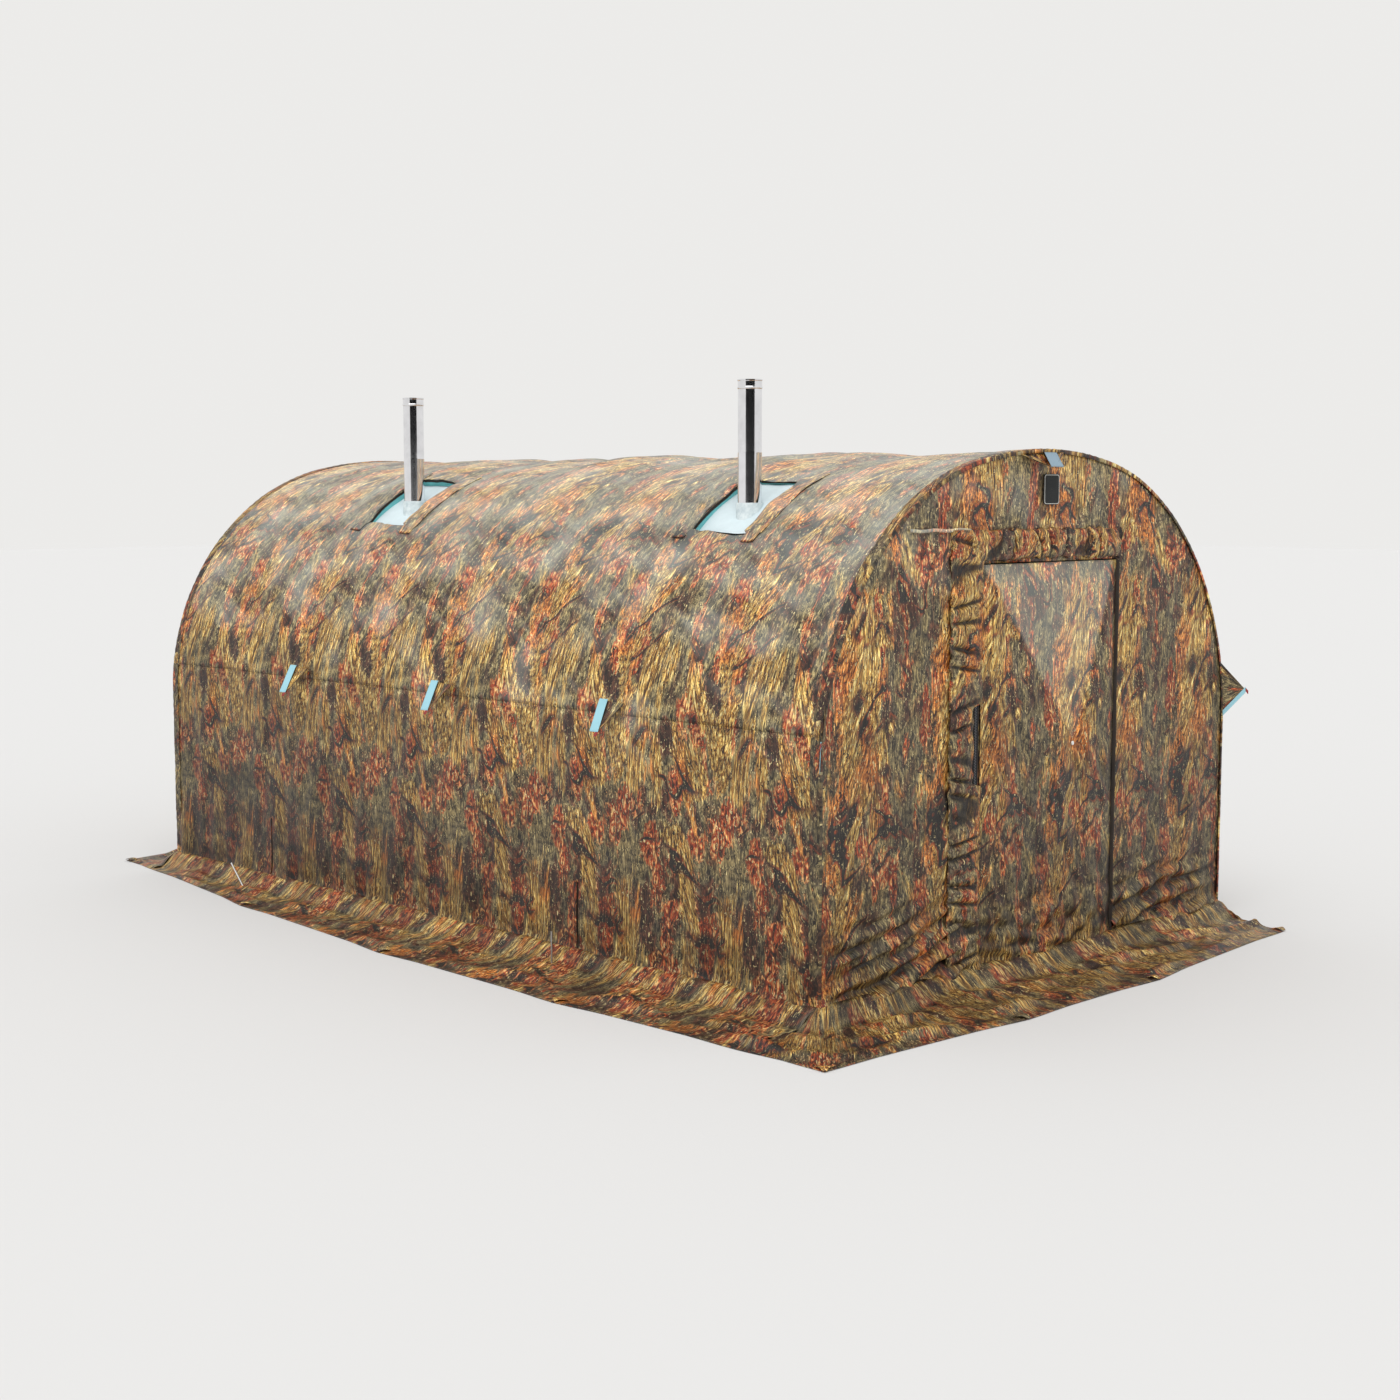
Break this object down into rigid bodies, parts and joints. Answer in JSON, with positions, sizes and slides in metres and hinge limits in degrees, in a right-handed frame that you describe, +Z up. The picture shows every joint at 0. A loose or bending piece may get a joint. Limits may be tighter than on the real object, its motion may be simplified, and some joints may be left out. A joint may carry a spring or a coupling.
{
  "type": "tunnel ground blind",
  "caption": "Walk-in tunnel blind of camouflage cloth on folding arches, with a zipped door, a ground skirt and stove-pipe windows in the roof.",
  "frame": {"origin": "on the ground at the middle of the whole outline, skirt included", "axes": "+Z up, +Y along the tunnel towards the closed end, the door end faces -Y, +X towards the door's hinge side"},
  "size_m": [3.74, 5.59, 2.45],
  "materials": {
    "camo_fabric": "printed coated polyester, reed and grass camouflage",
    "lining_fabric": "light blue-green inner cloth",
    "jack_fabric": "pale fireproof glass cloth",
    "frame_tube": "drawn tube",
    "hub_plastic": "moulded, glass filled",
    "flue_steel": "polished stainless sheet",
    "collar_silicone": "pale silicone-coated cloth ring",
    "zip_black": "woven zip tape with coil",
    "zip_metal": "dark plated",
    "toggle_plastic": "white moulded button",
    "tape_blue": "light blue webbing",
    "patch_fabric": "plain dark woven patch",
    "stake_steel": "plated rod"
  },
  "bodies": {
    "shelter_middle": {"arch_3_poles": "frame_tube", "arch_3_fittings": "hub_plastic", "roof": "camo_fabric", "wall_left": "camo_fabric", "wall_right": "camo_fabric", "lining": "lining_fabric", "skirt_left": "camo_fabric", "skirt_right": "camo_fabric", "guy_flaps_3": "camo_fabric"},
    "arch_1": {"arch_1_poles": "frame_tube", "arch_1_fittings": "hub_plastic", "guy_flaps_1": "camo_fabric", "front_wall": "camo_fabric", "skirt_front": "camo_fabric", "storm_flap": "camo_fabric", "zip_tape": "zip_black", "blank_patch": "patch_fabric", "crown_hood": "camo_fabric"},
    "arch_2": {"arch_2_poles": "frame_tube", "arch_2_fittings": "hub_plastic", "guy_flaps_2": "camo_fabric", "jack_panel_front": "jack_fabric", "flue_collar_front": "collar_silicone"},
    "arch_4": {"arch_4_poles": "frame_tube", "arch_4_fittings": "hub_plastic", "guy_flaps_4": "camo_fabric", "jack_panel_rear": "jack_fabric", "flue_collar_rear": "collar_silicone"},
    "arch_5": {"arch_5_poles": "frame_tube", "arch_5_fittings": "hub_plastic", "rear_wall": "camo_fabric", "skirt_rear": "camo_fabric"},
    "strut_left_1_near": {"strut_left_1_near": "frame_tube"},
    "strut_left_1_far": {"strut_left_1_far": "frame_tube"},
    "strut_left_2_near": {"strut_left_2_near": "frame_tube"},
    "strut_left_2_far": {"strut_left_2_far": "frame_tube"},
    "strut_left_3_near": {"strut_left_3_near": "frame_tube"},
    "strut_left_3_far": {"strut_left_3_far": "frame_tube"},
    "strut_left_4_near": {"strut_left_4_near": "frame_tube"},
    "strut_left_4_far": {"strut_left_4_far": "frame_tube"},
    "strut_right_1_near": {"strut_right_1_near": "frame_tube"},
    "strut_right_1_far": {"strut_right_1_far": "frame_tube"},
    "strut_right_2_near": {"strut_right_2_near": "frame_tube"},
    "strut_right_2_far": {"strut_right_2_far": "frame_tube"},
    "strut_right_3_near": {"strut_right_3_near": "frame_tube"},
    "strut_right_3_far": {"strut_right_3_far": "frame_tube"},
    "strut_right_4_near": {"strut_right_4_near": "frame_tube"},
    "strut_right_4_far": {"strut_right_4_far": "frame_tube"},
    "door": {"door": "camo_fabric", "door_toggle": "toggle_plastic"},
    "zip_slider": {"zip_slider": "zip_metal"},
    "flue_pipe_front": {"flue_pipe_front": "flue_steel"},
    "flue_pipe_rear": {"flue_pipe_rear": "flue_steel"},
    "stake_front": {"stake_front": "stake_steel"},
    "stake_rear": {"stake_rear": "stake_steel"}
  },
  "joints": [
    {"name": "frame_fold", "type": "hinge", "parent": "shelter_middle", "child": "strut_left_2_near", "pos_m": [-1.35, -0.055, 1], "axis": [0, 0, 1], "range_deg": [0, 73], "deforming": ["roof", "wall_left", "wall_right", "lining", "skirt_left", "skirt_right"]},
    {"name": "fold_left_2_knee", "type": "hinge", "parent": "strut_left_2_near", "child": "strut_left_2_far", "pos_m": [-1.35, -0.5675, 1], "axis": [0, 0, 1], "range_deg": [-146, 0]},
    {"name": "fold_left_2_arch", "type": "hinge", "parent": "strut_left_2_far", "child": "arch_2", "pos_m": [-1.35, -1.08, 1], "axis": [0, 0, 1], "range_deg": [0, 73]},
    {"name": "fold_right_2_hub", "type": "hinge", "parent": "shelter_middle", "child": "strut_right_2_near", "pos_m": [1.35, -0.055, 1], "axis": [0, 0, 1], "range_deg": [-73, 0]},
    {"name": "fold_right_2_knee", "type": "hinge", "parent": "strut_right_2_near", "child": "strut_right_2_far", "pos_m": [1.35, -0.5675, 1], "axis": [0, 0, 1], "range_deg": [0, 146]},
    {"name": "fold_left_1_hub", "type": "hinge", "parent": "arch_2", "child": "strut_left_1_near", "pos_m": [-1.35, -1.19, 1], "axis": [0, 0, 1], "range_deg": [0, 73]},
    {"name": "fold_left_1_knee", "type": "hinge", "parent": "strut_left_1_near", "child": "strut_left_1_far", "pos_m": [-1.35, -1.7025, 1], "axis": [0, 0, 1], "range_deg": [-146, 0]},
    {"name": "fold_left_1_arch", "type": "hinge", "parent": "strut_left_1_far", "child": "arch_1", "pos_m": [-1.35, -2.215, 1], "axis": [0, 0, 1], "range_deg": [0, 73]},
    {"name": "fold_right_1_hub", "type": "hinge", "parent": "arch_2", "child": "strut_right_1_near", "pos_m": [1.35, -1.19, 1], "axis": [0, 0, 1], "range_deg": [-73, 0]},
    {"name": "fold_right_1_knee", "type": "hinge", "parent": "strut_right_1_near", "child": "strut_right_1_far", "pos_m": [1.35, -1.7025, 1], "axis": [0, 0, 1], "range_deg": [0, 146]},
    {"name": "fold_left_3_hub", "type": "hinge", "parent": "shelter_middle", "child": "strut_left_3_near", "pos_m": [-1.35, 0.055, 1], "axis": [0, 0, 1], "range_deg": [-73, 0]},
    {"name": "fold_left_3_knee", "type": "hinge", "parent": "strut_left_3_near", "child": "strut_left_3_far", "pos_m": [-1.35, 0.5675, 1], "axis": [0, 0, 1], "range_deg": [0, 146]},
    {"name": "fold_left_3_arch", "type": "hinge", "parent": "strut_left_3_far", "child": "arch_4", "pos_m": [-1.35, 1.08, 1], "axis": [0, 0, 1], "range_deg": [-73, 0]},
    {"name": "fold_right_3_hub", "type": "hinge", "parent": "shelter_middle", "child": "strut_right_3_near", "pos_m": [1.35, 0.055, 1], "axis": [0, 0, 1], "range_deg": [0, 73]},
    {"name": "fold_right_3_knee", "type": "hinge", "parent": "strut_right_3_near", "child": "strut_right_3_far", "pos_m": [1.35, 0.5675, 1], "axis": [0, 0, 1], "range_deg": [-146, 0]},
    {"name": "fold_left_4_hub", "type": "hinge", "parent": "arch_4", "child": "strut_left_4_near", "pos_m": [-1.35, 1.19, 1], "axis": [0, 0, 1], "range_deg": [-73, 0]},
    {"name": "fold_left_4_knee", "type": "hinge", "parent": "strut_left_4_near", "child": "strut_left_4_far", "pos_m": [-1.35, 1.7025, 1], "axis": [0, 0, 1], "range_deg": [0, 146]},
    {"name": "fold_left_4_arch", "type": "hinge", "parent": "strut_left_4_far", "child": "arch_5", "pos_m": [-1.35, 2.215, 1], "axis": [0, 0, 1], "range_deg": [-73, 0]},
    {"name": "fold_right_4_hub", "type": "hinge", "parent": "arch_4", "child": "strut_right_4_near", "pos_m": [1.35, 1.19, 1], "axis": [0, 0, 1], "range_deg": [0, 73]},
    {"name": "fold_right_4_knee", "type": "hinge", "parent": "strut_right_4_near", "child": "strut_right_4_far", "pos_m": [1.35, 1.7025, 1], "axis": [0, 0, 1], "range_deg": [-146, 0]},
    {"name": "door_swing", "type": "hinge", "parent": "arch_1", "child": "door", "pos_m": [0.505, -2.3, 0.88], "axis": [0, 0, -1], "range_deg": [-110, 0]},
    {"name": "zip_slide", "type": "slide", "parent": "arch_1", "child": "zip_slider", "axis": [0, 0, 1], "range_m": [-0.68, 0.87]},
    {"name": "flue_front_lift", "type": "slide", "parent": "arch_2", "child": "flue_pipe_front", "axis": [0, 0, 1], "range_m": [0, 0.6]},
    {"name": "flue_rear_lift", "type": "slide", "parent": "arch_4", "child": "flue_pipe_rear", "axis": [0, 0, 1], "range_m": [0, 0.6]},
    {"name": "stake_front_pull", "type": "slide", "parent": "arch_2", "child": "stake_front", "axis": [0, 0, 1], "range_m": [0, 0.15]},
    {"name": "stake_rear_pull", "type": "slide", "parent": "arch_5", "child": "stake_rear", "axis": [0, 0.7071, 0.7071], "range_m": [0, 0.15]}
  ],
  "couplings": [
    {"joint": "fold_left_2_knee", "follows": "frame_fold", "ratio": -2},
    {"joint": "fold_left_2_arch", "follows": "frame_fold", "ratio": 1},
    {"joint": "fold_right_2_hub", "follows": "frame_fold", "ratio": -1},
    {"joint": "fold_right_2_knee", "follows": "frame_fold", "ratio": 2},
    {"joint": "fold_left_1_hub", "follows": "frame_fold", "ratio": 1},
    {"joint": "fold_left_1_knee", "follows": "frame_fold", "ratio": -2},
    {"joint": "fold_left_1_arch", "follows": "frame_fold", "ratio": 1},
    {"joint": "fold_right_1_hub", "follows": "frame_fold", "ratio": -1},
    {"joint": "fold_right_1_knee", "follows": "frame_fold", "ratio": 2},
    {"joint": "fold_left_3_hub", "follows": "frame_fold", "ratio": -1},
    {"joint": "fold_left_3_knee", "follows": "frame_fold", "ratio": 2},
    {"joint": "fold_left_3_arch", "follows": "frame_fold", "ratio": -1},
    {"joint": "fold_right_3_hub", "follows": "frame_fold", "ratio": 1},
    {"joint": "fold_right_3_knee", "follows": "frame_fold", "ratio": -2},
    {"joint": "fold_left_4_hub", "follows": "frame_fold", "ratio": -1},
    {"joint": "fold_left_4_knee", "follows": "frame_fold", "ratio": 2},
    {"joint": "fold_left_4_arch", "follows": "frame_fold", "ratio": -1},
    {"joint": "fold_right_4_hub", "follows": "frame_fold", "ratio": 1},
    {"joint": "fold_right_4_knee", "follows": "frame_fold", "ratio": -2}
  ]
}
